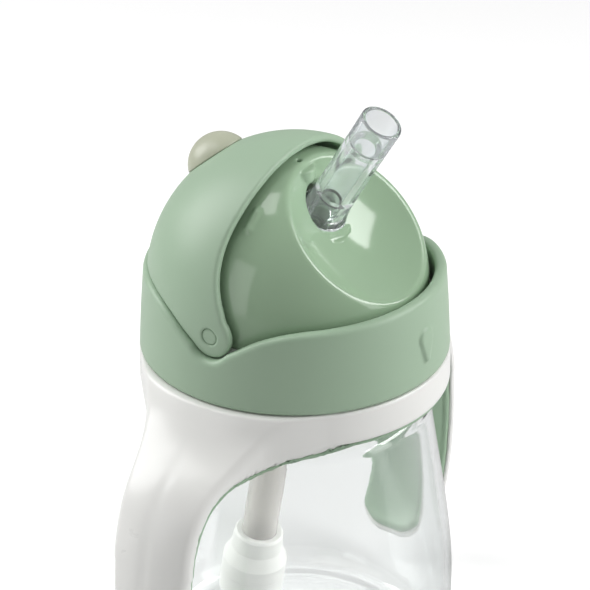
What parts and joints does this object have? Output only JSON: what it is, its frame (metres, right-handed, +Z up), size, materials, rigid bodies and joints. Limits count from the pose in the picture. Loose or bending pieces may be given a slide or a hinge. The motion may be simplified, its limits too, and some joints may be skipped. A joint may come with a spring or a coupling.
{
  "type": "kids water bottle",
  "caption": "Clear toddler water bottle with two curved handles, a domed screw lid, a swinging cover with a round knob, a soft forward-leaning spout and a weighted straw.",
  "frame": {"origin": "centre of the face that the bottle stands on", "axes": "+Z up through the lid, -Y towards the drinking side, X along the hinge pins and through both handles"},
  "size_m": [0.1324, 0.0836, 0.1638],
  "materials": {
    "clear_plastic": "clear, polished",
    "white_plastic": "warm white, satin to gloss",
    "sage_soft": "soft-touch sage green",
    "sage_matte": "fine matte sage green",
    "sage_gloss": "polished sage green",
    "natural_plastic": "milky natural plastic",
    "cream_satin": "satin greenish cream",
    "clear_silicone": "clear silicone",
    "milky_silicone": "milky silicone",
    "steel": "plain turned steel"
  },
  "bodies": {
    "bottle": {"bottle_body": "clear_plastic", "handle_shell": "white_plastic", "handle_liner": "sage_soft"},
    "gasket": {"lid_gasket": "clear_silicone"},
    "lid": {"lid_collar": "sage_matte", "lid_thread_ring": "natural_plastic", "lid_dome": "sage_gloss", "vent_valve": "clear_silicone", "hinge_pin_left": "sage_matte", "hinge_pin_right": "sage_matte", "drinking_spout": "clear_silicone", "spout_retainer": "natural_plastic", "straw_connector": "clear_plastic"},
    "cover": {"flip_cover": "sage_matte", "cover_knob": "cream_satin"},
    "straw": {"straw_tube": "milky_silicone", "weight_upper": "natural_plastic", "weight_lower": "natural_plastic", "weight_core": "steel", "inlet_strainer": "natural_plastic"}
  },
  "joints": [
    {"name": "lid_rise", "type": "slide", "parent": "bottle", "child": "gasket", "axis": [0, 0, 1], "range_m": [0, 0.005]},
    {"name": "lid_unscrew", "type": "hinge", "parent": "gasket", "child": "lid", "pos_m": [0, 0, 0.1], "axis": [0, 0, 1], "range_deg": [0, 360]},
    {"name": "cover_flip", "type": "hinge", "parent": "lid", "child": "cover", "pos_m": [0, 0, 0.1123], "axis": [1, 0, 0], "range_deg": [0, 79], "deforming": ["drinking_spout"]},
    {"name": "straw_swing", "type": "hinge", "parent": "lid", "child": "straw", "pos_m": [0, -0.00397, 0.12598], "axis": [1, 0, 0], "range_deg": [-20, 5], "deforming": ["straw_tube"]}
  ],
  "couplings": [
    {"joint": "lid_rise", "follows": "lid_unscrew", "m_per_rad": 0.00079577}
  ]
}
